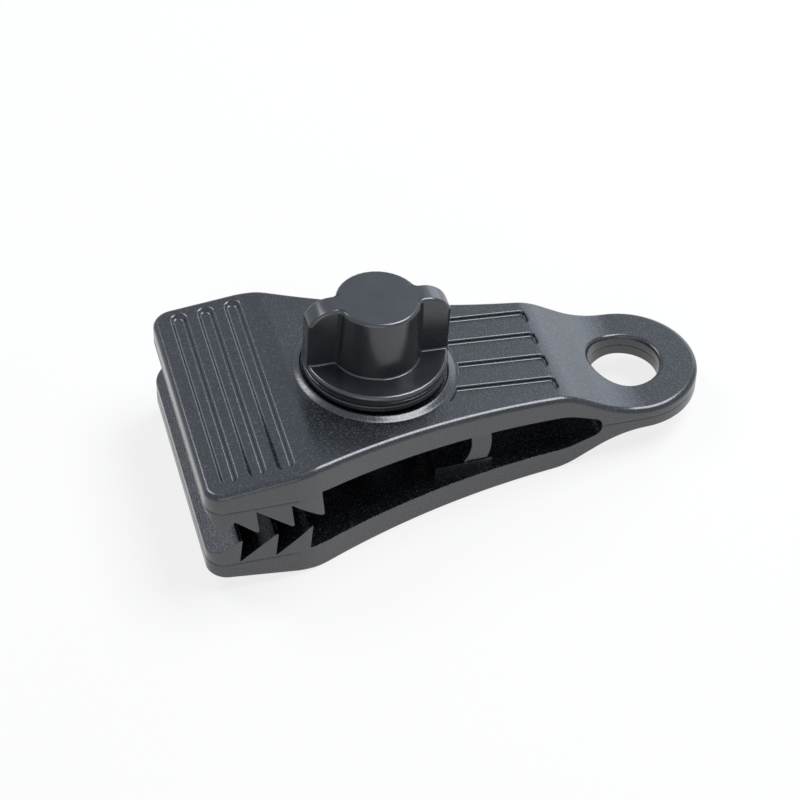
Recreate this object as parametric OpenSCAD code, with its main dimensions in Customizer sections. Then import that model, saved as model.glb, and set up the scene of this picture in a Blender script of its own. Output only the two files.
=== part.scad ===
// Clip for the edge of a tarpaulin: two toothed jaws that meet in a springy tail with a rope eye,
// drawn together by a winged thumb screw. The shapes are drawn about the plane midway between the
// jaws, with x from the front edge towards the tail and z up. Every piece is then tipped a little,
// so that the clip lies on the flat outer face of its lower jaw.

/* [Clip] */
// Length from the front edge to the end of the eye
clip_l = 90; // [86:1:110]
// Width across the front of the jaws
jaw_w = 46.4; // [42:0.2:54]
// Half of the clip's thickness at its front edge
front_h = 8.9; // [8:0.1:10]
// Half of the clip's thickness at the crest behind the teeth
crest_h = 11.1; // [10.4:0.1:12.5]
// Distance of the crest from the front edge
crest_x = 18.5; // [17.8:0.1:20]
// Half of the clip's thickness where the tail starts to slope down
tail_h = 7.8; // [7:0.1:8.6]
// Length of the tail, from the top of its slope to the end of the eye
tail_l = 26.5; // [25:0.1:28]
// Length of the slope, along the clip
slope_l = 10; // [9:0.1:11]

/* [Outline] */
// Radius of the two front corners, seen from above
corner_r = 3.2; // [2:0.1:5]
// Length of the straight sides at the front
straight_l = 13.5; // [11:0.1:15]
// Radius of the shoulders where the sides turn in
shoulder_r = 18; // [12:0.5:20]
// Length of the parallel neck in front of the eye's centre
neck_l = 7.5; // [5:0.1:10]

/* [Eye] */
// Outer diameter of the rope eye
eye_d = 25.4; // [23:0.1:28]
// Diameter of the hole in the eye
eye_hole_d = 12.4; // [8:0.1:14]
// Thickness of the eye
eye_t = 4.2; // [3.6:0.1:5]

/* [Slot] */
// Thickness of each jaw at the crest
crest_wall = 5.2; // [4.6:0.1:5.6]
// Thickness of each jaw at the top of the slope
tail_wall = 4.2; // [3.6:0.1:4.8]
// Distance from the top of the slope to the closed end of the slot
slot_run = 6; // [5:0.1:7]
// Radius of the closed end of the slot
slot_r = 0.9; // [0.6:0.1:1.2]

/* [Flexing tail] */
// Distance of the bending axis behind the end of the slot
hinge_back = 2; // [1.4:0.1:2.6]
// Radius of the round seat where the upper jaw bends
seat_r = 5; // [4.6:0.1:5.4]
// Clearance in that seat
seat_gap = 0.06; // [0.02:0.01:0.1]

/* [Teeth] */
// Number of teeth in each jaw
tooth_n = 3; // [2:1:3]
// Distance from one tooth to the next
tooth_pitch = 5.8; // [5.4:0.1:6]
// Height of the teeth
tooth_h = 4.7; // [4:0.1:4.9]
// Distance that a tip lies behind the root of its steep face
tooth_rake = 0.5; // [0.2:0.1:0.8]
// Width of the blunt tips
tooth_flat = 0.5; // [0.3:0.1:0.8]
// Place of the first tip of the upper jaw
upper_tip_x = 8.1; // [7.8:0.1:8.4]
// Place of the first tip of the lower jaw
lower_tip_x = 5.7; // [5.4:0.1:6]
// Opening between the two rows of tips
tip_gap = 1.3; // [1:0.1:2]
// Distance of that opening's middle below the mid plane
bite_drop = 0.55; // [0.3:0.05:0.7]
// Distance of the upper front lip's tip above the upper row of tips
lip_lift = 1; // [0.6:0.1:1.6]
// Width of the notch behind that lip
notch_w = 1.3; // [1:0.1:1.6]
// Drop of the lower jaw's lead-in, from its first tip to the front edge
lead_drop = 3.2; // [2.6:0.1:3.6]

/* [Grip marks] */
// Number of grooves across each jaw's front
groove_n = 3; // [1:1:3]
// Width of those grooves
groove_w = 2.5; // [1.6:0.1:3]
// Distance from one groove to the next
groove_pitch = 4.75; // [4:0.05:4.9]
// Distance of the first groove from the front edge
groove_x = 4.3; // [3.6:0.1:5]
// Bare margin at each end of the grooves
groove_margin = 2.6; // [1.6:0.1:5]
// Number of channels along each jaw's waist
channel_n = 4; // [2:2:4]
// Width of those channels
channel_w = 3; // [2:0.1:3.6]
// Distance from one channel to the next
channel_pitch = 5.7; // [5:0.1:6]
// Bare margin between the channels and the tail's slope
channel_margin = 1.2; // [0.8:0.1:3]
// Depth of grooves and channels
mark_depth = 0.5; // [0.3:0.1:0.8]

/* [Thumb screw] */
// Distance of the screw from the front edge
screw_x = 33.2; // [31:0.1:35]
// Lean of the screw towards the tail, in degrees
screw_lean = 2; // [0:0.5:3]
// Diameter of the screw's thread
screw_d = 6; // [5:0.5:6]
// Length of the screw below the boss
screw_l = 18.9; // [18:0.1:19.4]
// Width across the flats of the screw's head and of its nut
hex_af = 10; // [8:0.5:10]
// Height of the screw's head
head_h = 4; // [3:0.5:5]
// Clearance between the moulded knob and the screw in it
mould_gap = 0.02; // [0.01:0.01:0.05]
// Clearance round the screw in the upper jaw
screw_gap = 0.3; // [0.2:0.05:0.5]
// Thickness of the nut
nut_t = 5; // [4:0.5:5]
// Running clearance between the nut and the screw
thread_gap = 0.05; // [0.02:0.01:0.1]
// Length of screw left free below the nut
screw_tail = 0.3; // [0:0.1:0.6]
// Clearance round the nut in its pocket
pocket_gap = 0.7; // [0.6:0.05:0.8]
// Clearance above the nut in its pocket
pocket_top_gap = 0.5; // [0.4:0.05:0.8]
// Wall of the nut's tower round its pocket, and its roof
tower_wall = 1.4; // [1.2:0.1:2.4]
// Clearance round the screw in the tower's roof
roof_gap = 1; // [0.9:0.05:1.4]

/* [Knob] */
// Height of the boss under the knob
boss_h = 0.9; // [0.6:0.1:1.4]
// Width of the boss's sloping side
boss_skirt = 1.6; // [1:0.1:2]
// Width of the boss's raised lip
lip_w = 1; // [0.6:0.1:1.4]
// Height of that lip
lip_h = 0.35; // [0.2:0.05:0.5]
// Clearance round the washer inside the lip
washer_gap = 0.3; // [0.2:0.05:0.5]
// Thickness of the washer
washer_t = 1; // [0.8:0.1:1.4]
// Distance that the knob's flange reaches past the washer
flange_reach = 0.1; // [0:0.05:0.3]
// Diameter of the knob's flange
flange_d = 24.2; // [22:0.1:25]
// Thickness of the knob's flange
flange_t = 2; // [1.6:0.1:2.6]
// Running clearance under the flange
flange_gap = 0.05; // [0.02:0.01:0.1]
// Diameter of the knob's barrel at its foot
barrel_d = 15; // [14:0.1:16]
// Diameter of the knob's barrel at its top
barrel_top_d = 14; // [13.4:0.1:15]
// Height of the barrel above the flange
barrel_h = 11.1; // [9:0.1:13]
// Thickness of the two wings
wing_t = 4; // [3:0.1:5]
// Radius of the wings' outer corners
wing_r = 4.5; // [2:0.1:5]
// Depth of plastic between the flange's underside and the screw's head
head_cover = 3.4; // [2:0.1:4]

/* [Spring leaf] */
// Place of the centre of the leaf's curve, as a share of the way from the screw to the tail's slope
leaf_share = 0.228; // [0.2:0.002:0.25]
// Height of that centre above the mid plane
leaf_z = 0.9; // [0.4:0.1:1.4]
// Inner radius of the curve
leaf_r = 6.6; // [6.2:0.1:7]
// Thickness of the leaf
leaf_t = 3.6; // [2.6:0.1:4]
// Distance of the leaf's sides inside the jaws' sides
leaf_inset = 1.4; // [1:0.1:3]
// Height of the step under the leaf's foot
step_h = 1.5; // [1:0.1:1.8]
// Distance of that step's front end behind the curve's centre
step_start = 0.5; // [0:0.1:1.5]
// Length of that step behind the leaf
step_margin = 0.1; // [0:0.1:1]
// Clearance under the leaf's foot
foot_gap = 0.1; // [0.05:0.05:0.2]

/* [Hidden] */
$fn = 96;
hex_sides = 6;
over = 1;
deep = crest_h + over;

// Places along the clip, from the front edge
eye_r = eye_d / 2;
eye_x = clip_l - eye_r;
tail_x = clip_l - tail_l;
slope_end_x = tail_x + slope_l;
slot_end_x = tail_x + slot_run;
hinge_x = slot_end_x + hinge_back;
neck_x = eye_x - neck_l;

// Heights of the jaws' outer and inner faces above the mid plane, which are straight lines
slot_crest_h = crest_h - crest_wall;
slot_tail_h = tail_h - tail_wall;
function along(x, at_crest, at_tail) = at_crest + (x - crest_x) * (at_tail - at_crest) / (tail_x - crest_x);
function outer_h(x) = along(x, crest_h, tail_h);
function slot_h(x) = along(x, slot_crest_h, slot_tail_h);

// The waist is an arc that leaves the shoulder's arc and ends in line with the neck
narrowing = jaw_w / 2 - eye_r;
waist_l = neck_x - straight_l;
arcs_r = (pow(waist_l, 2) + pow(narrowing, 2)) / (2 * narrowing);
waist_r = arcs_r - shoulder_r;
turn = asin(waist_l / arcs_r);
join_x = straight_l + shoulder_r * sin(turn);
join_w = jaw_w / 2 - shoulder_r * (1 - cos(turn));
function waist_w(x) = eye_r + waist_r - sqrt(pow(waist_r, 2) - pow(neck_x - x, 2));

// Rows of teeth
upper_tip_z = tip_gap / 2 - bite_drop;
lower_tip_z = -tip_gap / 2 - bite_drop;
upper_root_z = upper_tip_z + tooth_h;
lower_root_z = lower_tip_z - tooth_h;
lip_x = upper_tip_x - tooth_pitch;
lip_z = upper_tip_z + lip_lift;
notch_x = lip_x + notch_w;
upper_slope = tooth_h / (tooth_pitch + tooth_rake - tooth_flat);
notch_z = upper_tip_z + upper_slope * (upper_tip_x - tooth_flat - notch_x);
function upper_tip(i) = upper_tip_x + i * tooth_pitch;
function lower_tip(i) = lower_tip_x + i * tooth_pitch;

// Heights along the screw, from the face that the washer lies on
washer_r = flange_d / 2 - flange_reach;
seat_h = outer_h(screw_x) + boss_h;
flange_z = washer_t + flange_gap;
barrel_z = flange_z + flange_t;
knob_h = flange_t + barrel_h;
head_z = flange_z + head_cover;
nut_z = screw_tail - screw_l;
hex_r = hex_af / 2 / cos(180 / hex_sides);
pocket_r = (hex_af / 2 + pocket_gap) / cos(180 / hex_sides);
pocket_roof_z = nut_z + nut_t + pocket_top_gap;
tower_r = pocket_r + tower_wall;
boss_r = washer_r + washer_gap + lip_w;

// The spring leaf and the step under its foot, between the screw and the tail's slope
leaf_x = screw_x + leaf_share * (tail_x - screw_x);
leaf_rear_x = leaf_x + leaf_r + leaf_t;
leaf_w = 2 * (waist_w(leaf_rear_x) - leaf_inset);
step_x = leaf_x + step_start;
step_end_x = leaf_rear_x + step_margin;

// The clip lies on the lower jaw's waist, with its origin below the middle of its length
rest_tilt = atan2(crest_h - tail_h, tail_x - crest_x);
rest_z = crest_x * sin(rest_tilt) + crest_h * cos(rest_tilt);
front_x = -front_h * sin(rest_tilt);
rear_x = clip_l * cos(rest_tilt) + eye_t / 2 * sin(rest_tilt);

plastic = [0.13, 0.14, 0.15];
knob_plastic = [0.09, 0.09, 0.10];
steel = [0.62, 0.63, 0.65];

// Tips a piece from the mid plane's frame to the frame that the clip lies in
module lying() {
    translate([-(front_x + rear_x) / 2, 0, rest_z]) rotate([0, rest_tilt, 0]) children();
}

// Puts a piece on the screw's axis, with z from the washer's seat
module on_screw() {
    translate([screw_x, 0, seat_h]) rotate([0, screw_lean, 0]) children();
}

// Runs a side view across the clip
module across(width) {
    rotate([90, 0, 0]) linear_extrude(width, center = true) children();
}

// Outline of the clip from above
module outline() {
    front_w = jaw_w / 2 - corner_r;
    translate([corner_r, -jaw_w / 2]) square([straight_l - corner_r, jaw_w]);
    translate([0, -front_w]) square([corner_r, 2 * front_w]);
    for (side = [-1, 1])
        translate([corner_r, side * front_w]) circle(corner_r);
    intersection() {
        translate([straight_l, -jaw_w / 2]) square([shoulder_r, jaw_w]);
        for (side = [-1, 1])
            translate([straight_l, side * (jaw_w / 2 - shoulder_r)]) circle(shoulder_r);
    }
    difference() {
        translate([join_x, -join_w]) square([neck_x - join_x, 2 * join_w]);
        for (side = [-1, 1])
            translate([neck_x, side * (eye_r + waist_r)]) circle(waist_r);
    }
    translate([neck_x, -eye_r]) square([neck_l, eye_d]);
    translate([eye_x, 0]) circle(eye_r);
}

// Side view of the whole clip, with no slot or teeth
module side_view() {
    top = [[0, front_h], [crest_x, crest_h], [tail_x, tail_h], [slope_end_x, eye_t / 2], [clip_l, eye_t / 2]];
    bottom = [for (i = [len(top) - 1:-1:0]) [top[i].x, -top[i].y]];
    polygon(concat(top, bottom));
}

// Side view of the slot behind the teeth, with its round end
module slot() {
    end_x = slot_end_x - slot_r;
    polygon([
        [crest_x, slot_crest_h], [tail_x, slot_tail_h], [end_x, slot_r],
        [end_x, -slot_r], [tail_x, -slot_tail_h], [crest_x, -slot_crest_h]
    ]);
    translate([end_x, 0]) circle(slot_r);
}

// Side view of everything below the upper jaw
module below_upper() {
    last_root_x = upper_tip(tooth_n - 1) - tooth_rake;
    teeth = [for (i = [0:tooth_n - 1]) each concat(
        [[upper_tip(i) - tooth_flat, upper_tip_z], [upper_tip(i), upper_tip_z]],
        i < tooth_n - 1 ? [[upper_tip(i) - tooth_rake, upper_root_z]] : []
    )];
    polygon(concat(
        [[-over, -deep], [-over, upper_root_z], [0, upper_root_z]],
        [[lip_x - tooth_flat, lip_z], [lip_x, lip_z], [notch_x, notch_z]],
        teeth,
        [[last_root_x, slot_h(last_root_x)], [tail_x, slot_tail_h], [slot_end_x - slot_r, slot_r]],
        [[slot_end_x, 0], [clip_l + over, 0], [clip_l + over, -deep]]
    ));
}

// Side view of everything above the lower jaw
module above_lower() {
    teeth = [for (i = [0:tooth_n - 1]) each [
        [lower_tip(i) - tooth_flat, lower_tip_z],
        [lower_tip(i), lower_tip_z],
        [lower_tip(i) - tooth_rake, lower_root_z]
    ]];
    polygon(concat(
        [[-over, deep], [-over, lower_tip_z - lead_drop], [0, lower_tip_z - lead_drop]],
        teeth,
        [[crest_x, -slot_crest_h], [tail_x, -slot_tail_h], [slot_end_x - slot_r, -slot_r]],
        [[slot_end_x, 0], [hinge_x, 0], [hinge_x, deep]]
    ));
}

module upper_side() {
    difference() {
        side_view();
        below_upper();
        slot();
        translate([hinge_x, 0]) circle(seat_r + seat_gap);
        translate([hinge_x, -deep]) square([clip_l, 2 * deep]);
    }
}

module lower_side() {
    difference() {
        side_view();
        difference() {
            above_lower();
            translate([hinge_x, 0]) circle(seat_r);
        }
        slot();
    }
}

// Grooves across the front and channels along the waist, seen from above
module grip_marks() {
    groove_l = jaw_w - 2 * groove_margin - groove_w;
    for (i = [0:groove_n - 1])
        translate([groove_x + i * groove_pitch, 0]) {
            square([groove_w, groove_l], center = true);
            for (side = [-1, 1])
                translate([0, side * groove_l / 2]) circle(groove_w / 2);
        }
    channel_l = tail_x - channel_margin - channel_w / 2 - screw_x;
    difference() {
        for (i = [0:channel_n - 1])
            translate([screw_x, (i - (channel_n - 1) / 2) * channel_pitch]) {
                translate([0, -channel_w / 2]) square([channel_l, channel_w]);
                translate([channel_l, 0]) circle(channel_w / 2);
            }
        translate([screw_x, 0]) circle(boss_r + boss_skirt);
    }
}

// The grip marks as cuts of even depth in the upper face
module mark_cuts() {
    intersection() {
        linear_extrude(2 * deep) grip_marks();
        across(jaw_w) polygon([
            [0, front_h - mark_depth], [crest_x, crest_h - mark_depth], [tail_x, tail_h - mark_depth],
            [tail_x, tail_h + over], [crest_x, crest_h + over], [0, front_h + over]
        ]);
    }
}

module jaw_block() {
    intersection() {
        across(jaw_w + 2 * over) children();
        translate([0, 0, -deep]) linear_extrude(2 * deep) outline();
    }
}

module lower_jaw() {
    tower_top_z = pocket_roof_z + tower_wall;
    step_side = [
        [step_x, step_h - slot_h(step_x)], [step_end_x, step_h - slot_h(step_end_x)],
        [step_end_x, -outer_h(step_end_x) + over], [step_x, -outer_h(step_x) + over]
    ];
    color(plastic) lying() difference() {
        union() {
            jaw_block() lower_side();
            across(leaf_w) polygon(step_side);
            on_screw() translate([0, 0, -screw_l]) cylinder(r = tower_r, h = screw_l + tower_top_z);
        }
        on_screw() translate([0, 0, -screw_l - deep])
            cylinder(r = pocket_r, h = screw_l + deep + pocket_roof_z, $fn = hex_sides);
        on_screw() translate([0, 0, -screw_l]) cylinder(r = screw_d / 2 + roof_gap, h = screw_l);
        translate([eye_x, 0, -eye_t]) cylinder(d = eye_hole_d, h = 2 * eye_t);
        mirror([0, 0, 1]) mark_cuts();
    }
}

module upper_jaw() {
    color(plastic) lying() difference() {
        union() {
            jaw_block() upper_side();
            on_screw() translate([0, 0, -boss_h - over]) cylinder(r = boss_r, h = boss_h + over + lip_h);
            on_screw() translate([0, 0, -boss_h]) cylinder(r1 = boss_r + boss_skirt, r2 = boss_r, h = boss_h);
        }
        on_screw() cylinder(r = washer_r + washer_gap, h = over);
        on_screw() translate([0, 0, -deep]) cylinder(r = screw_d / 2 + screw_gap, h = 2 * deep);
        mark_cuts();
    }
}

module spring_leaf() {
    color(plastic) lying() across(leaf_w) intersection() {
        translate([leaf_x, leaf_z]) difference() {
            circle(leaf_r + leaf_t);
            circle(leaf_r);
        }
        polygon([
            [leaf_x, slot_h(leaf_x)], [step_end_x, slot_h(step_end_x)],
            [step_end_x, step_h + foot_gap - slot_h(step_end_x)], [leaf_x, step_h + foot_gap - slot_h(leaf_x)]
        ]);
    }
}

module washer() {
    color(knob_plastic) lying() on_screw() difference() {
        cylinder(r = washer_r, h = washer_t);
        translate([0, 0, -over]) cylinder(r = screw_d / 2 + screw_gap, h = washer_t + 2 * over);
    }
}

// Wings from the side: a plate with round upper corners
module wing_side() {
    reach = flange_d / 2;
    translate([-reach, 0]) square([flange_d, knob_h - wing_r]);
    translate([wing_r - reach, 0]) square([flange_d - 2 * wing_r, knob_h]);
    for (side = [-1, 1])
        translate([side * (reach - wing_r), knob_h - wing_r]) circle(wing_r);
}

module knob() {
    color(knob_plastic) lying() on_screw() difference() {
        union() {
            translate([0, 0, flange_z]) cylinder(d = flange_d, h = flange_t);
            translate([0, 0, barrel_z]) cylinder(d1 = barrel_d, d2 = barrel_top_d, h = barrel_h);
            translate([0, 0, flange_z]) intersection() {
                across(wing_t) wing_side();
                cylinder(d = flange_d, h = knob_h);
            }
        }
        translate([0, 0, flange_z - over]) cylinder(r = screw_d / 2 + mould_gap, h = head_cover + 2 * over);
        translate([0, 0, head_z - mould_gap])
            cylinder(r = hex_r + mould_gap, h = head_h + 2 * mould_gap, $fn = hex_sides);
    }
}

module screw() {
    point = screw_d / 8;
    color(steel) lying() on_screw() {
        translate([0, 0, point - screw_l]) cylinder(d = screw_d, h = screw_l - point + head_z);
        translate([0, 0, -screw_l]) cylinder(d1 = screw_d - 2 * point, d2 = screw_d, h = point);
        translate([0, 0, head_z]) cylinder(r = hex_r, h = head_h, $fn = hex_sides);
    }
}

module nut() {
    color(steel) lying() on_screw() translate([0, 0, nut_z]) difference() {
        cylinder(r = hex_r, h = nut_t, $fn = hex_sides);
        translate([0, 0, -over]) cylinder(r = screw_d / 2 + thread_gap, h = nut_t + 2 * over);
    }
}

lower_jaw();
upper_jaw();
spring_leaf();
washer();
knob();
screw();
nut();
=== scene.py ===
# %% [markdown]
# # A clip for the edge of a tarpaulin
# The real clip is a black nylon moulding. Two toothed jaws meet in a springy tail that ends in a
# rope eye, and a winged knob on a steel screw draws the jaws together. This lesson dresses the
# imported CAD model: it keeps the sizes and the joints, and adds the rounded edges and the moulded
# finish.

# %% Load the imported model
import math

import bmesh
import bpy
from mathutils import Matrix, Vector


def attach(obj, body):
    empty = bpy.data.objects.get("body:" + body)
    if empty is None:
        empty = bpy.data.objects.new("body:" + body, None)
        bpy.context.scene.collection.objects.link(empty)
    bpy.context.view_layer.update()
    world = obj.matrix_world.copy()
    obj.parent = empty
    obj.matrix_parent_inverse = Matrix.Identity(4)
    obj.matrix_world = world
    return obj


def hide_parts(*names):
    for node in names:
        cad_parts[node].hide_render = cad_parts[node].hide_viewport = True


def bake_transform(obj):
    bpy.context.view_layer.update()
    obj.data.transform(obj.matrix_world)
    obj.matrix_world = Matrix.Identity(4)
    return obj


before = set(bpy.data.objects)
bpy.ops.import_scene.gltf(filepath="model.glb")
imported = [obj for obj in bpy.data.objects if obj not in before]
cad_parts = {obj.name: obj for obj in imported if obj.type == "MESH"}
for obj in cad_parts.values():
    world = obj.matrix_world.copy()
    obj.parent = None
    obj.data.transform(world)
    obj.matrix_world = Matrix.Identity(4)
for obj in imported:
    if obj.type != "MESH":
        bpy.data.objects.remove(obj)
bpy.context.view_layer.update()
scene = bpy.context.scene

# %% [markdown]
# ## Two frames
# A clip is easiest to draw about the plane between its jaws, in millimetres, with x from the
# front edge to the tail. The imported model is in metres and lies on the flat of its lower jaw, so
# it is tipped by four degrees. One matrix goes from the drawing to the model, and each piece is
# moved by it once, when its shape is finished.

# %% Sizes of the clip and the matrix that lays it down
MM = 0.001
CLIP_L, JAW_W, FRONT_H = 90.0, 46.4, 8.9
CREST_X, CREST_H = 18.5, 11.1
TAIL_X, TAIL_H = 63.5, 7.8
EYE_R, EYE_T = 12.7, 4.2
EYE_X = CLIP_L - EYE_R

TILT = math.atan2(CREST_H - TAIL_H, TAIL_X - CREST_X)
FRONT_X = -FRONT_H * math.sin(TILT)
REAR_X = CLIP_L * math.cos(TILT) + EYE_T / 2 * math.sin(TILT)
REST_Z = CREST_X * math.sin(TILT) + CREST_H * math.cos(TILT)
LYING = (
    Matrix.Scale(MM, 4)
    @ Matrix.Translation((-(FRONT_X + REAR_X) / 2, 0, REST_Z))
    @ Matrix.Rotation(TILT, 4, "Y")
)
print("tipped by", round(math.degrees(TILT), 3), "degrees; eye at", LYING @ Vector((EYE_X, 0, 0)))

# %% [markdown]
# ## Drawing with chains of edges
# A flat outline of straight runs and arcs can be drawn as one chain of vertices: extrude the last
# vertex for a straight run, spin it about a centre for an arc. The closed chain is then filled
# and extruded to a block. A side view is drawn the same way and stood upright across the clip.

# %% Helpers for outlines and blocks
WELD = 1e-4  # vertices that lie closer than this are merged
OVER = 2.0  # how far a cutter reaches past what it cuts


def straight(bm, vert, x, y):
    new = bmesh.ops.extrude_vert_indiv(bm, verts=[vert])["verts"][0]
    new.co = (x, y, 0)
    return new


def arc(bm, vert, centre, degrees, steps):
    angle = math.radians(degrees)
    made = bmesh.ops.spin(
        bm, geom=[vert], cent=(*centre, 0), axis=(0, 0, 1), angle=angle, steps=steps
    )
    return [g for g in made["geom_last"] if isinstance(g, bmesh.types.BMVert)][0]


def fill(bm):
    bmesh.ops.remove_doubles(bm, verts=bm.verts[:], dist=WELD)
    bmesh.ops.edgeloop_fill(bm, edges=bm.edges[:])


def raise_block(bm, low, high):
    bmesh.ops.translate(bm, vec=(0, 0, low), verts=bm.verts[:])
    made = bmesh.ops.extrude_face_region(bm, geom=bm.faces[:])
    top = [g for g in made["geom"] if isinstance(g, bmesh.types.BMVert)]
    bmesh.ops.translate(bm, vec=(0, 0, high - low), verts=top)
    bmesh.ops.recalc_face_normals(bm, faces=bm.faces[:])


def stand_across(bm, width):
    raise_block(bm, -width / 2, width / 2)
    upright = Matrix.Rotation(math.radians(90), 3, "X")
    bmesh.ops.rotate(bm, matrix=upright, verts=bm.verts[:])


def round_corners(bm, verts, offset, segments):
    bmesh.ops.bevel(
        bm,
        geom=verts,
        offset=offset,
        segments=segments,
        profile=0.5,
        affect="VERTICES",
        material=-1,
    )


def side_view(points, rounds=(), width=JAW_W + 2 * OVER):
    """A block with this side view; rounds lists (numbers of its corners, offset, segments)."""
    bm = bmesh.new()
    verts = [bm.verts.new((x, z, 0)) for x, z in points]
    bm.faces.new(verts)
    for numbers, offset, segments in rounds:
        round_corners(bm, [verts[i] for i in numbers], offset, segments)
    stand_across(bm, width)
    return bm


def shifted(bm, x=0.0, z=0.0):
    bmesh.ops.translate(bm, vec=(x, 0, z), verts=bm.verts[:])
    return bm


# %% [markdown]
# ## Turning on a lathe
# A round shape is a profile spun about an axis. The profile runs from the axis, outside, and back
# to the axis, or round in a ring if the shape has a hole. A cylinder is the simplest one.

# %% Helpers for turned shapes
ROUND_STEPS, BORE_STEPS = 96, 48


def lathe(points, steps=ROUND_STEPS, ring=False, start=0):
    """A solid of revolution about z from a profile of (radius, height), begun at start degrees."""
    bm = bmesh.new()
    verts = [bm.verts.new((r, 0, z)) for r, z in points]
    ends = verts[1:] + verts[:1] if ring else verts[1:]
    edges = [bm.edges.new(pair) for pair in zip(verts, ends)]
    bmesh.ops.spin(
        bm,
        geom=verts + edges,
        cent=(0, 0, 0),
        axis=(0, 0, 1),
        angle=2 * math.pi,
        steps=steps,
        use_merge=True,
    )
    bmesh.ops.remove_doubles(bm, verts=bm.verts[:], dist=WELD)
    bmesh.ops.recalc_face_normals(bm, faces=bm.faces[:])
    begun = Matrix.Rotation(math.radians(start), 3, "Z")
    bmesh.ops.rotate(bm, matrix=begun, verts=bm.verts[:])
    return bm


def cylinder(radius, low, high, steps=ROUND_STEPS, start=0):
    return lathe([(0, low), (radius, low), (radius, high), (0, high)], steps, start=start)


# %% [markdown]
# ## Cutting and joining blocks
# A moulding like this is a block with other blocks cut out of it, which is what Blender's Boolean
# modifier does. Its exact solver is used, and the result is taken as the new mesh at once, so
# that the sharp edges left by each cut can be picked out and rounded before the next one.

# %% Helpers for cuts and rounded edges
CUT_WELD = 1e-3  # a cut can leave slivers of this size, which are merged away
SHARP = 50  # edges that turn by more degrees than this can be picked out and rounded


def to_object(bm, name):
    mesh = bpy.data.meshes.new(name)
    bm.to_mesh(mesh)
    bm.free()
    obj = bpy.data.objects.new(name, mesh)
    scene.collection.objects.link(obj)
    return obj


def mesh_of(obj):
    """The object's mesh as a bmesh, to work on."""
    bm = bmesh.new()
    bm.from_mesh(obj.data)
    return bm


def put_back(bm, obj):
    bm.to_mesh(obj.data)
    bm.free()


def take(obj):
    """The object's mesh as a bmesh; the object itself goes."""
    bm = mesh_of(obj)
    bpy.data.objects.remove(obj)
    return bm


def combine(obj, bm, operation):
    tool = to_object(bm, "tool")
    step = obj.modifiers.new("step", "BOOLEAN")
    step.operation, step.solver, step.object = operation, "EXACT", tool
    result = obj.evaluated_get(bpy.context.evaluated_depsgraph_get())
    made = bpy.data.meshes.new_from_object(result)
    obj.modifiers.clear()
    old, obj.data = obj.data, made
    bpy.data.meshes.remove(old)
    bpy.data.objects.remove(tool)
    bm = mesh_of(obj)
    bmesh.ops.remove_doubles(bm, verts=bm.verts[:], dist=CUT_WELD)
    bmesh.ops.dissolve_degenerate(bm, edges=bm.edges[:], dist=CUT_WELD)
    open_edges = sum(not e.is_manifold for e in bm.edges)
    print(obj.name, operation, round(bm.calc_volume(), 1), "mm3,", open_edges, "open edges")
    put_back(bm, obj)
    return obj


def bevel(bm, edges, radius, segments):
    bmesh.ops.bevel(
        bm,
        geom=edges,
        offset=radius,
        segments=segments,
        profile=0.5,
        affect="EDGES",
        material=-1,
        loop_slide=False,
    )


def round_edges(obj, radius, segments, chosen):
    """Rounds the sharp edges whose middle chosen() accepts."""
    bm = mesh_of(obj)
    edges = [
        e
        for e in bm.edges
        if len(e.link_faces) == 2
        and math.degrees(e.calc_face_angle(0)) > SHARP
        and chosen((e.verts[0].co + e.verts[1].co) / 2)
    ]
    bevel(bm, edges, radius, segments)
    bmesh.ops.remove_doubles(bm, verts=bm.verts[:], dist=WELD)
    put_back(bm, obj)
    print(obj.name, "rounded", len(edges), "edges by", radius, "mm")


def slice_faces(bm, faces, point, normal):
    """Cuts these faces along a plane and leaves both sides in place."""
    edges, verts = {e for f in faces for e in f.edges}, {v for f in faces for v in f.verts}
    geom = faces + list(edges) + list(verts)
    bmesh.ops.bisect_plane(bm, geom=geom, dist=WELD, plane_co=point, plane_no=normal)


def cut_off(bm, point, normal):
    """Takes away what lies beyond a plane and closes the cut."""
    geom = bm.verts[:] + bm.edges[:] + bm.faces[:]
    cut = bmesh.ops.bisect_plane(
        bm, geom=geom, plane_co=point, plane_no=normal, clear_outer=True
    )["geom_cut"]
    bmesh.ops.edgeloop_fill(bm, edges=[g for g in cut if isinstance(g, bmesh.types.BMEdge)])


# %% [markdown]
# ## A flat plate
# Seen from above the clip has straight sides at the front, round shoulders, a waist that narrows
# in one long arc, and a round eye. Both jaws share that outline, so a thick plate is drawn for
# each. Its outer edges are rounded while it is still flat, because a bevel behaves best on a
# plain flat face: widely on the upper jaw, where hands touch it, and hardly at all underneath.
# The corners of the outline's arcs are set where no tooth gets its steep side or its rounded tip,
# since two close corners would spoil the tooth's edge later. That is why the arcs at the front
# corner and the shoulder stop at chosen angles.

# %% Draw the plates and round their outer edges
DEEP = CREST_H + OVER
EYE_HOLE_R, EYE_HOLE_STEPS = 6.2, 72
CORNER_R, STRAIGHT_L, SHOULDER_R, NECK_L = 3.2, 13.5, 18.0, 7.5
NECK_X = EYE_X - NECK_L
LIP_TURN, LIP_STEPS, CORNER_STEPS, ARC_STEPS = 21.0, 2, 7, 24
FIRST_TURN, SHOULDER_STOPS = 4.2, [(9.4, 2), (13.6, 1)]  # degrees, and steps up to there
UPPER_EDGE_R, LOWER_EDGE_R, HOLE_EDGE_R = 1.0, 0.35, 0.7
FLUSH, NEAR = 0.01, 0.1  # tolerances for picking out edges
half_w = JAW_W / 2
narrowing = half_w - EYE_R
waist_l = NECK_X - STRAIGHT_L
waist_r = (waist_l**2 + narrowing**2) / (2 * narrowing) - SHOULDER_R
turn = math.degrees(math.asin(waist_l / (waist_r + SHOULDER_R)))


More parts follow.
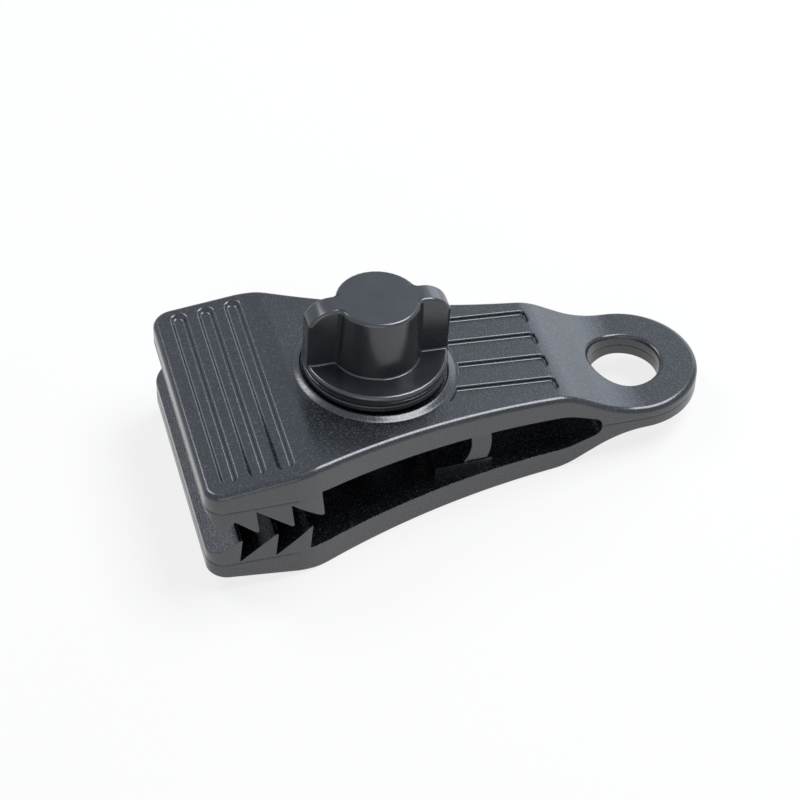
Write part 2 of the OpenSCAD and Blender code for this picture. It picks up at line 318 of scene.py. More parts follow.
def side_w(x):
    """Half of the clip's width at x."""
    if x < CORNER_R:
        return half_w - CORNER_R + math.sqrt(max(CORNER_R**2 - (CORNER_R - x) ** 2, 0))
    if x < STRAIGHT_L:
        return half_w
    if x < STRAIGHT_L + SHOULDER_R * math.sin(math.radians(turn)):
        return half_w - SHOULDER_R + math.sqrt(SHOULDER_R**2 - (x - STRAIGHT_L) ** 2)
    if x < NECK_X:
        return EYE_R + waist_r - math.sqrt(waist_r**2 - (NECK_X - x) ** 2)
    return math.sqrt(max(EYE_R**2 - max(x - EYE_X, 0) ** 2, 0))


def plate():
    bm = bmesh.new()
    vert = bm.verts.new((0, 0, 0))
    vert = straight(bm, vert, 0, half_w - CORNER_R)
    vert = arc(bm, vert, (CORNER_R, half_w - CORNER_R), LIP_TURN - 90, CORNER_STEPS)
    vert = arc(bm, vert, (CORNER_R, half_w - CORNER_R), -LIP_TURN, LIP_STEPS)
    first_x = STRAIGHT_L + SHOULDER_R * math.sin(math.radians(FIRST_TURN))
    vert = straight(bm, vert, first_x, side_w(first_x))
    done = FIRST_TURN
    for upto, steps in SHOULDER_STOPS + [(turn, 1)]:
        vert = arc(bm, vert, (STRAIGHT_L, half_w - SHOULDER_R), done - upto, steps)
        done = upto
    vert = arc(bm, vert, (NECK_X, EYE_R + waist_r), turn, ARC_STEPS)
    vert = straight(bm, vert, EYE_X, EYE_R)
    arc(bm, vert, (EYE_X, 0), -90, ARC_STEPS)
    bmesh.ops.mirror(bm, geom=bm.verts[:] + bm.edges[:], axis="Y", merge_dist=WELD)
    fill(bm)
    raise_block(bm, -DEEP, CREST_H)
    return bm


def from_eye(p):
    return math.hypot(p.x - EYE_X, p.y)


def in_eye(p):
    return from_eye(p) < EYE_HOLE_R + NEAR


def on_top(p):
    return p.z > CREST_H - FLUSH


upper, lower = (to_object(plate(), name) for name in ("upper_half", "lower_half"))
for half, edge_r in ((upper, UPPER_EDGE_R), (lower, LOWER_EDGE_R)):
    hole = cylinder(EYE_HOLE_R, -2 * DEEP, 2 * DEEP, EYE_HOLE_STEPS)
    combine(half, shifted(hole, x=EYE_X), "DIFFERENCE")
    round_edges(half, edge_r, 6, lambda p: on_top(p) and not in_eye(p))
    round_edges(half, min(edge_r, HOLE_EDGE_R), 4, lambda p: on_top(p) and in_eye(p))

# %% [markdown]
# ## Grip marks
# Three wide grooves cross each jaw's front, and four channels run along its waist to the boss
# under the knob. They are shallow pockets with a flat floor. One bar is drawn for each, with
# rounded ends and rounded lower edges, and the bars are cut out of the plate. The walls of the
# grooves lean, so each shows a light side and a dark one. The channels stop at a circle round the
# screw. The rims that the cuts leave get a small radius, which catches the light in the photo.

# %% Cut the grooves and channels
GROOVES, GROOVE_X, GROOVE_PITCH, GROOVE_W, GROOVE_LEAN = 3, 4.35, 4.62, 2.7, 0.75
NEAR_MARGIN, FAR_MARGIN = 2.6, 1.8
CHANNELS, CHANNEL_PITCH, CHANNEL_W, CHANNEL_END_R, CHANNEL_MARGIN = 4, 5.7, 3.0, 0.9, 1.2
MARK_DEPTH, MARK_CLEAR, MARK_FLOOR_R, MARK_RIM_R, MARK_END_STEPS = 0.7, 0.2, 0.32, 0.3, 6
SCREW_X, CHANNEL_STOP_R = 33.2, 14.25


def bar(length, width, end_r, lean):
    """A bar along x, from 0 to length at z = 0; its walls lean in towards the floor."""
    bm = bmesh.new()
    wider, half = lean * MARK_CLEAR, width / 2 + lean * MARK_CLEAR
    low, high = -wider, length + wider
    corners = [(low, -half), (high, -half), (high, half), (low, half)]
    verts = [bm.verts.new((x, y, 0)) for x, y in corners]
    bm.faces.new(verts)
    round_corners(bm, verts, end_r + wider, MARK_END_STEPS)
    bmesh.ops.remove_doubles(bm, verts=bm.verts[:], dist=CUT_WELD)
    raise_block(bm, MARK_CLEAR, OVER)
    bottom = [f for f in bm.faces if f.normal.z < -0.9]
    down = MARK_DEPTH + MARK_CLEAR
    bmesh.ops.inset_region(
        bm, faces=bottom, thickness=lean * down, use_even_offset=True, use_boundary=True
    )
    bmesh.ops.translate(bm, vec=(0, 0, -down), verts=bottom[0].verts[:])
    floor = [e for e in bm.edges if all(v.co.z < 0 for v in e.verts)]
    bevel(bm, floor, MARK_FLOOR_R, 3)
    return bm


def add_to(bm, other, matrix):
    """Adds another bmesh to this one, moved by a matrix."""
    other.transform(matrix)
    mesh = bpy.data.meshes.new("added")
    other.to_mesh(mesh)
    other.free()
    bm.from_mesh(mesh)
    bpy.data.meshes.remove(mesh)


def cut_marks(half):
    grooves, channels = bmesh.new(), bmesh.new()
    groove_l = JAW_W - NEAR_MARGIN - FAR_MARGIN
    channel_l = TAIL_X - CHANNEL_MARGIN - SCREW_X
    across = Matrix.Rotation(math.radians(90), 4, "Z")
    for i in range(GROOVES):
        x, y = GROOVE_X + i * GROOVE_PITCH, NEAR_MARGIN - half_w
        groove = bar(groove_l, GROOVE_W, GROOVE_W / 2, GROOVE_LEAN)
        add_to(grooves, groove, Matrix.Translation((x, y, CREST_H)) @ across)
    for i in range(CHANNELS):
        y = (i - (CHANNELS - 1) / 2) * CHANNEL_PITCH
        channel = bar(channel_l, CHANNEL_W, CHANNEL_END_R, 0)
        add_to(channels, channel, Matrix.Translation((SCREW_X, y, CREST_H)))
    combine(half, grooves, "DIFFERENCE")
    stop = shifted(cylinder(CHANNEL_STOP_R, 0, 2 * DEEP), x=SCREW_X)
    stopped = combine(to_object(channels, "channels"), stop, "DIFFERENCE")
    combine(half, take(stopped), "DIFFERENCE")
    round_edges(half, MARK_RIM_R, 3, on_top)


for half in (upper, lower):
    cut_marks(half)

# %% [markdown]
# ## The line round the front
# A fine line runs round the front of each jaw just outside the roots of the teeth, where two
# blocks of the mould met. It is deepest at the front and grows shallower along the sides. Three
# cuts across the walls give it its edges, and the middle ring of vertices is pushed in.

# %% Press the line into the walls
LINE_W, LINE_DEPTH, LINE_END_X, LINE_FADE = 0.2, 0.15, 17.5, 0.6
UPPER_LINE_Z, LOWER_LINE_Z = 5.45, 6.3


def press_line(half, z):
    bm = mesh_of(half)
    for height in (z - LINE_W, z, z + LINE_W):
        walls = [
            f
            for f in bm.faces
            if abs(f.normal.z) < FLUSH and f.calc_center_median().x < LINE_END_X
        ]
        slice_faces(bm, walls, (0, 0, height), (0, 0, 1))
    bm.normal_update()
    pressed = [v for v in bm.verts if abs(v.co.z - z) < CUT_WELD and v.co.x < LINE_END_X]
    inward = {v: -v.normal * LINE_DEPTH * (1 - LINE_FADE * v.co.x / LINE_END_X) for v in pressed}
    for vert, step in inward.items():
        vert.co += step
    put_back(bm, half)
    print(half.name, "line pressed in at", len(pressed), "vertices")


press_line(upper, UPPER_LINE_Z)
press_line(lower, LOWER_LINE_Z)

# %% [markdown]
# ## The plates take their side view
# Seen from the side the outer face rises to a crest, falls along the waist and slopes down to the
# eye. So each finished plate is cut across where that line bends, and each vertex of its outer
# side is moved up or down to the line. The marks and the rounded edges go along. Only the outer
# faces are cut, so that the side walls stay whole. The lower jaw's plate is turned over at the
# end.

# %% Bend the outer faces and turn the lower plate over
SLOPE_END_X, WALL_TOP_Z = 73.5, 7.5
TOP_LINE = [(0, FRONT_H), (CREST_X, CREST_H), (TAIL_X, TAIL_H)]
TOP_LINE += [(SLOPE_END_X, EYE_T / 2), (CLIP_L, EYE_T / 2)]
BENDS = [(0.8, 2), (2.2, 4), (4.5, 6)]  # how far each bend reaches, and its steps


def top_h(x):
    slopes = [(z1 - z0) / (x1 - x0) for (x0, z0), (x1, z1) in zip(TOP_LINE, TOP_LINE[1:])]
    bends = zip(TOP_LINE[1:], slopes, slopes[1:], BENDS)
    for (bend_x, bend_z), before, after, (reach, _) in bends:
        past = max(x - bend_x + reach, 0)
        if x < bend_x + reach:
            return bend_z + (x - bend_x) * before + (after - before) * past**2 / (4 * reach)
    return EYE_T / 2


def bend_outside(half):
    bm = mesh_of(half)
    for (bend_x, _), (reach, steps) in zip(TOP_LINE[1:], BENDS):
        for i in range(-steps, steps + 1):
            faces = [f for f in bm.faces if all(v.co.z > WALL_TOP_Z for v in f.verts)]
            slice_faces(bm, faces, (bend_x + reach * i / steps, 0, 0), (1, 0, 0))
    for vert in bm.verts:
        if vert.co.z > WALL_TOP_Z:
            vert.co.z += top_h(vert.co.x) - CREST_H
    put_back(bm, half)


bend_outside(upper)
bend_outside(lower)
lower.data.transform(Matrix.Scale(-1, 4, (0, 0, 1)))
lower.data.flip_normals()
print("plates:", len(upper.data.polygons), "and", len(lower.data.polygons), "faces")

# %% [markdown]
# ## Two halves with teeth
# The mould's two halves met at the middle plane, and the tail still shows that line. A cutter
# with the side view of the slot takes away everything below the upper half, and another
# everything above the lower half. The teeth are sawteeth that lean to the rear, where they hold
# the cloth. Their corners are blunted in the side view, before the cutter gets its width.

# %% Cut the slot and the teeth
CREST_WALL, TAIL_WALL, SLOT_END_X = 5.2, 4.2, 69.5
TOOTH_H, TOOTH_RAKE, TOOTH_FLAT, ROOT_Z = 4.7, 0.5, 0.5, 4.8
UPPER_TIPS = [(8.4, 0.1), (14.2, 0.1), (19.4, 0.6)]
LOWER_TIPS = [(5.6, -1.2), (11.55, -1.1), (17.35, -1.1)]
LIP_TIP, NOTCH, LEAD_DROP = (2.7, 1.1), (4.4, 3.3), 3.2
TIP_ROUND, SLOT_BEND_ROUND, SLOT_TIP_Z, SLOT_TIP_ROUND = 0.2, 1.5, 1.4, 1.1


def along(x, at_crest, at_tail):
    return at_crest + (x - CREST_X) * (at_tail - at_crest) / (TAIL_X - CREST_X)


def slot_h(x):
    return along(x, CREST_H - CREST_WALL, TAIL_H - TAIL_WALL)


def tooth(tip_x, tip_z, root_z):
    return [(tip_x - TOOTH_FLAT, tip_z), (tip_x, tip_z), (tip_x - TOOTH_RAKE, root_z)]


def upper_teeth():
    points = [(0, ROOT_Z), (LIP_TIP[0] - TOOTH_FLAT, LIP_TIP[1]), LIP_TIP, NOTCH]
    for tip_x, tip_z in UPPER_TIPS:
        points += tooth(tip_x, tip_z, ROOT_Z)
    last_x = points.pop()[0]
    return points + [(last_x, slot_h(last_x))]


def lower_teeth():
    first_z = LOWER_TIPS[0][1]
    points = [(0, first_z - LEAD_DROP)]
    for tip_x, tip_z in LOWER_TIPS:
        points += tooth(tip_x, tip_z, first_z - TOOTH_H)
    return points + [(CREST_X, -slot_crest_h)]


def slot_cutter(teeth, side):
    """Everything on the other side of a half: side is 1 for the upper half and -1 for the lower."""
    beyond = -side * 2 * DEEP
    points = [(-OVER, beyond), (-OVER, teeth[0][1])] + teeth
    first, last = 3, 1 + len(teeth)
    points += [(TAIL_X, side * slot_tail_h), (SLOT_END_X, side * SLOT_TIP_Z), (SLOT_END_X, 0)]
    points += [(CLIP_L + OVER, 0), (CLIP_L + OVER, beyond)]
    rounds = [(range(first, last + 1), TIP_ROUND, 3)]
    rounds += [((last + 1,), SLOT_BEND_ROUND, 4), ((last + 2,), SLOT_TIP_ROUND, 5)]
    return side_view(points, rounds)


slot_crest_h, slot_tail_h = slot_h(CREST_X), slot_h(TAIL_X)
combine(upper, slot_cutter(upper_teeth(), 1), "DIFFERENCE")
combine(lower, slot_cutter(lower_teeth(), -1), "DIFFERENCE")

# %% [markdown]
# ## Boss and seat
# Under the knob a low round mound stands on the upper jaw. The washer rests on its middle, and a
# moat round that leaves the dark gap under the washer's edge. The screw leans a little to the
# rear, and what belongs to it leans with it. The mound leans with the jaw's face instead, so that
# its slope runs out softly all round: the outermost ring of its profile ends just under that
# face.

# %% Add the boss to the upper half
SCREW_LEAN, SCREW_R, SCREW_PLAY, BOSS_H = 2.0, 3.0, 0.3, 0.9
WASHER_R, WASHER_GAP, SEAT_EDGE_R, SEAT_NEAR = 12.0, 0.3, 0.15, 0.2
LIP_H, FOOT_Z, MOAT_Z, MOAT_R, SEAT_Z = -0.36, -3.2, -0.71, 9.8, -0.02
MOUND_R, MOUND_SINK = 13.95, 0.03
# The mound's slope: shares of its way outwards, and of its height there.
MOUND_LINE = [(0, 1), (0.16, 0.94), (0.3, 0.79), (0.45, 0.58)]
MOUND_LINE += [(0.6, 0.35), (0.75, 0.15), (0.88, 0.035), (1, 0)]


def outer_h(x):
    return along(x, CREST_H, TAIL_H)


def on_screw(bm, lean=SCREW_LEAN):
    pivot = (SCREW_X, 0, outer_h(SCREW_X) + BOSS_H)
    leaning = Matrix.Rotation(math.radians(lean), 3, "Y")
    bmesh.ops.translate(bm, vec=pivot, verts=bm.verts[:])
    bmesh.ops.rotate(bm, cent=pivot, matrix=leaning, verts=bm.verts[:])
    return bm


def near_boss(p):
    from_screw = math.hypot(p.x - SCREW_X, p.y)
    return abs(from_screw - seat_r) < SEAT_NEAR and p.z > outer_h(p.x) - SEAT_NEAR


seat_r, screw_hole_r = WASHER_R + WASHER_GAP, SCREW_R + SCREW_PLAY
face_z, face_lean = -BOSS_H * math.cos(TILT) - MOUND_SINK, math.degrees(TILT)
rings = [
    (seat_r + (MOUND_R - seat_r) * out, face_z + (LIP_H - face_z) * share)
    for out, share in reversed(MOUND_LINE)
]
mound = lathe([(0, FOOT_Z), (MOUND_R, FOOT_Z)] + rings + [(0, LIP_H)])
combine(upper, on_screw(mound, face_lean), "UNION")
combine(upper, on_screw(cylinder(seat_r, MOAT_Z, OVER), face_lean), "DIFFERENCE")
round_edges(upper, SEAT_EDGE_R, 3, near_boss)
combine(upper, on_screw(cylinder(MOAT_R, FOOT_Z, SEAT_Z)), "UNION")
combine(upper, on_screw(cylinder(screw_hole_r, -DEEP, 1, BORE_STEPS)), "DIFFERENCE")

# %% [markdown]
# ## Tower and step
# The nut sits in a hexagon pocket, open below, in a round tower on the lower jaw. The screw goes
# through a wider hole in the pocket's roof. Behind the tower a low step carries the spring leaf.

# %% Add the leaf's step and the nut's tower to the lower half
SCREW_L = 18.9
POCKET_R, POCKET_ROOF_Z, TOWER_WALL, ROOF_GAP = 11.4 / math.sqrt(3), -13.1, 1.4, 1.0
LEAF_X, LEAF_Z, LEAF_R, LEAF_T, LEAF_INSET = 40.1084, 0.9, 6.6, 3.6, 1.4
STEP_H, STEP_FRONT, STEP_REAR = 1.5, 0.5, 0.1
leaf_rear_x = LEAF_X + LEAF_R + LEAF_T
leaf_w = 2 * (side_w(leaf_rear_x) - LEAF_INSET)
step_ends = (LEAF_X + STEP_FRONT, leaf_rear_x + STEP_REAR)
step = [(x, STEP_H - slot_h(x)) for x in step_ends]
step += [(x, OVER - outer_h(x)) for x in reversed(step_ends)]
combine(lower, side_view(step, width=leaf_w), "UNION")
tower_r, tower_top = POCKET_R + TOWER_WALL, POCKET_ROOF_Z + TOWER_WALL
combine(lower, on_screw(cylinder(tower_r, -SCREW_L, tower_top)), "UNION")
pocket = bmesh.new()
bmesh.ops.create_cone(
    pocket, cap_ends=True, segments=6, radius1=POCKET_R, radius2=POCKET_R, depth=DEEP
)
flats_along = Matrix.Rotation(math.radians(30), 3, "Z")
bmesh.ops.rotate(pocket, matrix=flats_along, verts=pocket.verts[:])
combine(lower, on_screw(shifted(pocket, z=POCKET_ROOF_Z - DEEP / 2)), "DIFFERENCE")
combine(lower, on_screw(cylinder(SCREW_R + ROOF_GAP, -SCREW_L, 0, BORE_STEPS)), "DIFFERENCE")
print("upper half:", len(upper.data.polygons), "faces; lower half:", len(lower.data.polygons))

# %% [markdown]
# ## Last edges of the halves
# What is still sharp now are the edges that the slot and the teeth left at the sides, and the
# line where the two halves of the tail meet. A moulding has no knife edges, so they all get one
# small radius in one step, because a chain of edges that is rounded in pieces leaves notches. On
# the tail the two rounded edges lie together and draw the thin parting line round the eye.

# %% Round the edges in the outline of both halves
CUT_EDGE_R, ON_LINE, ON_SIDE = 0.12, 0.05, 0.08


def in_outline(p):
    on_side = abs(abs(p.y) - side_w(p.x)) < ON_SIDE
    on_eye = p.x > EYE_X and abs(from_eye(p) - EYE_R) < ON_LINE
    return p.x < ON_LINE or on_side or on_eye or abs(from_eye(p) - EYE_HOLE_R) < ON_LINE


for half in (upper, lower):
    round_edges(half, CUT_EDGE_R, 2, in_outline)

# %% [markdown]
# ## The spring leaf
# A curved leaf hangs from the upper jaw and stands on a step of the lower one, so that the jaws
# open when the knob is turned back. It is half a ring in the side view, cut off along both jaws.
# Its side edges are rounded like the rest of the moulding.

# %% Draw the leaf
FOOT_GAP, LEAF_EDGE_R, LEAF_STEPS = 0.1, 0.3, 32
bm = bmesh.new()
vert = bm.verts.new((LEAF_X, LEAF_Z + LEAF_R, 0))
vert = straight(bm, vert, LEAF_X, LEAF_Z + LEAF_R + LEAF_T)
vert = arc(bm, vert, (LEAF_X, LEAF_Z), -180, LEAF_STEPS)
vert = straight(bm, vert, LEAF_X, LEAF_Z - LEAF_R)
arc(bm, vert, (LEAF_X, LEAF_Z), 180, LEAF_STEPS)
fill(bm)
stand_across(bm, leaf_w)
fall = (slot_crest_h - slot_tail_h) / (TAIL_X - CREST_X)
foot_z = STEP_H + FOOT_GAP - slot_h(LEAF_X)
cut_off(bm, (LEAF_X, 0, slot_h(LEAF_X)), Vector((fall, 0, 1)))
cut_off(bm, (LEAF_X, 0, foot_z), Vector((fall, 0, -1)))
bmesh.ops.recalc_face_normals(bm, faces=bm.faces[:])
leaf = to_object(bm, "flexible_leaf")


def on_leaf_side(p):
    return abs(p.y) > leaf_w / 2 - FLUSH and foot_z < p.z < slot_h(p.x) - NEAR


round_edges(leaf, LEAF_EDGE_R, 3, on_leaf_side)

# %% [markdown]
# ## The knob
# The knob is a round barrel on a flange with two wings for the fingers. Barrel and flange are
# lathed, and the thin groove in the flange's rim is the parting line of its mould. The lathe
# starts half a step round, so that no facet's edge lies close beside a wing. The wings are one
# bar with round upper corners, cut to the flange's radius.

# %% Build the knob
WASHER_T, KNOB_PLAY = 1.0, 0.05
FLANGE_Z, FLANGE_R, FLANGE_T, FLANGE_CUT = WASHER_T + KNOB_PLAY, 12.1, 2.0, 0.3
RIM_LINE_H, RIM_LINE_W, RIM_LINE_DEPTH = 0.9, 0.07, 0.12
BARREL_R, BARREL_TOP_R, KNOB_H, WING_T, WING_R = 7.5, 7.0, 13.1, 4.0, 4.5
WING_OVER, WING_SINK, KNOB_STEPS, TALL = 0.2, 0.5, 36, 30
flange_top, knob_top = FLANGE_Z + FLANGE_T, FLANGE_Z + KNOB_H
rim_line, half_step = FLANGE_Z + RIM_LINE_H, 180 / KNOB_STEPS
knob_line = [(0, FLANGE_Z), (FLANGE_R - FLANGE_CUT, FLANGE_Z), (FLANGE_R, FLANGE_Z + FLANGE_CUT)]
knob_line += [(FLANGE_R, rim_line - RIM_LINE_W), (FLANGE_R - RIM_LINE_DEPTH, rim_line)]
knob_line += [(FLANGE_R, rim_line + RIM_LINE_W), (FLANGE_R, flange_top)]
knob_line += [(BARREL_R, flange_top), (BARREL_TOP_R, knob_top), (0, knob_top)]
knob = to_object(lathe(knob_line, KNOB_STEPS, start=half_step), "winged_knob")
wing_l, wing_z = FLANGE_R + WING_OVER, flange_top - WING_SINK
wing_line = [(-wing_l, wing_z), (wing_l, wing_z), (wing_l, knob_top), (-wing_l, knob_top)]
wing_rounds = [((2, 3), WING_R + WING_OVER, 10)]
wings = to_object(side_view(wing_line, wing_rounds, WING_T), "wings")
combine(wings, cylinder(FLANGE_R, 0, TALL, KNOB_STEPS, half_step), "INTERSECT")
combine(knob, take(wings), "UNION")

# %% [markdown]
# The screw and its hexagon head are moulded into the knob, so their room is cut out of it. After
# the cuts the inner corners get their fillets first and the outer edges their radius last, so
# that the rim flows from the barrel into the wings.

# %% Make room for the screw and round the knob
HEX_R, HEAD_COVER, HEAD_H = 10.0 / math.sqrt(3), 3.4, 4.0
WING_FILLET_R, KNOB_FOOT_R, KNOB_RIM_R = 0.58, 0.3, 0.55
head_z = FLANGE_Z + HEAD_COVER


def from_axis(p):
    return math.hypot(p.x, p.y)


def beside_barrel(p):
    at_barrel = BARREL_TOP_R - NEAR < from_axis(p) < BARREL_R + ON_LINE
    return at_barrel and flange_top + 1 < p.z < knob_top - 1


def at_foot(p):
    return abs(p.z - flange_top) < FLUSH and from_axis(p) < FLANGE_R - NEAR


def above_flange(p):
    return p.z > flange_top - FLUSH and from_axis(p) > HEX_R + NEAR


combine(knob, cylinder(HEX_R, head_z, head_z + HEAD_H, 6), "DIFFERENCE")
combine(knob, cylinder(SCREW_R, 0, head_z + 1, BORE_STEPS), "DIFFERENCE")
round_edges(knob, WING_FILLET_R, 5, beside_barrel)
round_edges(knob, KNOB_FOOT_R, 3, at_foot)
round_edges(knob, KNOB_RIM_R, 4, above_flange)

# %% [markdown]
# ## Washer, screw and nut
# The washer is a plain ring under the flange. The screw has a real thread: a zigzag line is spun
# once round the axis while it rises by one pitch, so each turn joins the next. The spare turns at
# both ends are cut off, the point is turned to a cone, and the hexagon head is added. The nut is
# a hexagon whose corners are turned off at both ends, as on bought nuts.

# %% Build the washer
WASHER_CUT = 0.15
washer_line = [(screw_hole_r, 0), (WASHER_R - WASHER_CUT, 0), (WASHER_R, WASHER_CUT)]
washer_line += [(WASHER_R, WASHER_T - WASHER_CUT), (WASHER_R - WASHER_CUT, WASHER_T)]
washer_line += [(screw_hole_r, WASHER_T)]
washer = to_object(lathe(washer_line, ring=True), "plain_washer")
print(washer.name, len(washer.data.polygons), "faces")

# %% Build the screw
PITCH, THREAD_H, THREAD_STEPS, TURNS_BELOW, TURNS_SPARE = 1.0, 0.5, 32, 2, 3
HEAD_SINK, POINT_CUT, POINT_L, POINT_CLEAR, POINT_TOP = 0.5, 0.8, 1, 0.2, 20
bm = bmesh.new()
verts = []
for i in range(math.ceil((SCREW_L + head_z) / PITCH) + TURNS_SPARE):
    z = (i - TURNS_BELOW) * PITCH - SCREW_L
    verts.append(bm.verts.new((SCREW_R - THREAD_H, 0, z)))
    verts.append(bm.verts.new((SCREW_R, 0, z + PITCH / 2)))
edges = [bm.edges.new(pair) for pair in zip(verts, verts[1:])]
bmesh.ops.spin(
    bm,
    geom=verts + edges,
    cent=(0, 0, 0),
    axis=(0, 0, 1),
    angle=2 * math.pi,
    steps=THREAD_STEPS,
    dvec=(0, 0, PITCH / THREAD_STEPS),
)
bmesh.ops.remove_doubles(bm, verts=bm.verts[:], dist=WELD)
cut_off(bm, (0, 0, head_z + HEAD_SINK), (0, 0, 1))
cut_off(bm, (0, 0, -SCREW_L), (0, 0, -1))
bmesh.ops.recalc_face_normals(bm, faces=bm.faces[:])
screw = to_object(bm, "threaded_screw")
clear_r = SCREW_R + POINT_CLEAR
point = [(0, -SCREW_L), (SCREW_R - POINT_CUT, -SCREW_L), (clear_r, POINT_L - SCREW_L)]
point += [(clear_r, POINT_TOP), (0, POINT_TOP)]
combine(screw, lathe(point, BORE_STEPS), "INTERSECT")
combine(screw, cylinder(HEX_R, head_z, head_z + HEAD_H, 6), "UNION")

# %% Build the nut
NUT_T, NUT_Z, NUT_CUT, NUT_CUT_H, NUT_CLEAR, NUT_PLAY = 5.0, -18.6, 0.1, 0.6, 0.2, 0.05
nut_top, turned_r = NUT_Z + NUT_T, HEX_R * math.cos(math.pi / 6) - NUT_CUT
nut = to_object(cylinder(HEX_R, NUT_Z, nut_top, 6), "hexagon_nut")
nut_line = [(0, NUT_Z), (turned_r, NUT_Z), (HEX_R + NUT_CLEAR, NUT_Z + NUT_CUT_H)]
nut_line += [(HEX_R + NUT_CLEAR, nut_top - NUT_CUT_H), (turned_r, nut_top), (0, nut_top)]
combine(nut, lathe(nut_line, BORE_STEPS), "INTERSECT")
combine(nut, cylinder(SCREW_R + NUT_PLAY, -TALL, 0, BORE_STEPS), "DIFFERENCE")

# %% [markdown]
# ## Where the grain is
# Each face of the jaws and the leaf is marked with a number for its grain, which the finish reads
# later. The sparks in the mould eroded the outer faces, the slot and the teeth in full. Rounded
# edges and the sides of the marks are rubbed smoother, and the walls round the outline slid along
# the mould and are nearly plain.

# %% Mark the grained faces
# Faces marked as walls are also painted paler in the finish, a painted reflection of the pale
# floor.
WALL_TILT, WALL_GRAIN, EDGE_TILT, EDGE_GRAIN = 0.35, 0.25, 0.995, 0.5
WALL_NEAR, SKIN_T, SLOPE_STEP = 0.3, 1.3, 0.1


def on_wall(p):
    on_side = abs(abs(p.y) - side_w(p.x)) < WALL_NEAR
    in_hole = from_eye(p) < EYE_HOLE_R + WALL_NEAR
    on_tail = p.x > EYE_X and from_eye(p) > EYE_R - WALL_NEAR
    return p.x < WALL_NEAR or on_side or in_hole or on_tail


def jaw_grain(face):
    x, _, z = face.center
    if abs(face.normal.z) < WALL_TILT and on_wall(face.center):
        return WALL_GRAIN
    rise = top_h(x - SLOPE_STEP) - top_h(x + SLOPE_STEP)
    outward = Vector((rise, 0, math.copysign(2 * SLOPE_STEP, z))).normalized()
    outside = abs(z) > top_h(x) - SKIN_T
    return EDGE_GRAIN if outside and face.normal.dot(outward) < EDGE_TILT else 1.0


def leaf_grain(face):
    return WALL_GRAIN if abs(face.normal.y) > WALL_TILT else 1.0


def mark_grain(obj, grain_of):
    grain = obj.data.attributes.new("grain", "FLOAT", "FACE")
    for face, value in zip(obj.data.polygons, grain.data):
        value.value = grain_of(face)
    print(obj.name, "grained faces:", sum(v.value == 1 for v in grain.data), "of", len(grain.data))


for half in (upper, lower):
    mark_grain(half, jaw_grain)
mark_grain(leaf, leaf_grain)

# %% [markdown]
# ## Laying the pieces down
# Every shape is finished, so the lathed pieces go on the screw's axis, and all pieces go through
# the one matrix into the model's frame. The upper half is also sliced across at the tail, where
# the real jaws bend. Faces are shaded smoothly, and sharp edges stay sharp. The Weighted Normal
# modifier lets the large flat faces decide the shading, so the small radii don't bend the light on
# them.

# %% Move the pieces and smooth them
BEND_FRONT_X, BEND_REAR_X, SLICE_SHIFT = 62, 74, 0.03
SHARP_ANGLE, FLAT_WEIGHT = 38, 80
for piece in (knob, washer, screw, nut):
    put_back(on_screw(mesh_of(piece)), piece)
bm = mesh_of(upper)
for x in range(BEND_FRONT_X, BEND_REAR_X + 2):
    slice_faces(bm, bm.faces[:], (x + SLICE_SHIFT, 0, 0), (1, 0, 0))
put_back(bm, upper)
for piece in (upper, lower, leaf, knob, washer, screw, nut):
    piece.data.transform(LYING)
    piece.data.shade_smooth()
    piece.data.set_sharp_from_angle(angle=math.radians(SHARP_ANGLE))
    weighted = piece.modifiers.new("flat faces lead", "WEIGHTED_NORMAL")
    weighted.keep_sharp, weighted.weight = True, FLAT_WEIGHT
print("upper half sliced for its bend:", len(upper.data.polygons), "faces")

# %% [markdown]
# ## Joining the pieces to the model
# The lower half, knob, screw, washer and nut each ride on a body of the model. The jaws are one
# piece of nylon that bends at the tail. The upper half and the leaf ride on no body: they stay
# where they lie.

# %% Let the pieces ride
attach(lower, "lower_jaw")
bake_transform(upper)
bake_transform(leaf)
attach(washer, "upper_jaw")
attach(knob, "knob")
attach(screw, "knob")
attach(nut, "nut")
for piece, node, finish in (
    (lower, "lower_jaw", "jaw_plastic"),
    (upper, "upper_jaw", "jaw_plastic"),
    (leaf, "spring_leaf", "jaw_plastic"),
    (washer, "washer", "knob_plastic"),
    (knob, "knob", "knob_plastic"),
    (screw, "screw", "zinc_steel"),
    (nut, "nut", "zinc_steel"),
):
    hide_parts(node)
    print(piece.name, "stands for", node, "with", len(piece.data.polygons), "faces")

# %% [markdown]
# ## Materials
# Black nylon isn't quite black: a little light comes back from below the surface, and its skin
# mirrors the room. Plain nylon mirrors about four per cent. The index of refraction here gives
# six to seven, which matches the photo better. What tells the two mouldings apart is the skin.
# The jaws have spark-eroded grain on the outside, which is a fine random relief that breaks
# reflections into glitter. The knob comes from a satin mould. The screw and the nut are steel
# with bright zinc.


# %% Helpers for materials
def linear(hex_colour):
    parts = [int(hex_colour[i : i + 2], 16) / 255 for i in (1, 3, 5)]
    return [p / 12.92 if p <= 0.04045 else ((p + 0.055) / 1.055) ** 2.4 for p in parts] + [1.0]


def add(tree, kind, links=None, **settings):
    """Adds a node. Settings set its sockets or properties; links maps a socket to a source."""
    node = tree.nodes.new(kind)
    for name, value in settings.items():
        if hasattr(node, name):
            setattr(node, name, value)
        else:
            node.inputs[name.replace("_", " ")].default_value = value
    for name, source in (links or {}).items():
        tree.links.new(source, node.inputs[name])
    return node


def material(name):
    made = bpy.data.materials.new(name)
    made.use_nodes = True
    made.node_tree.nodes.clear()
    return made, made.node_tree
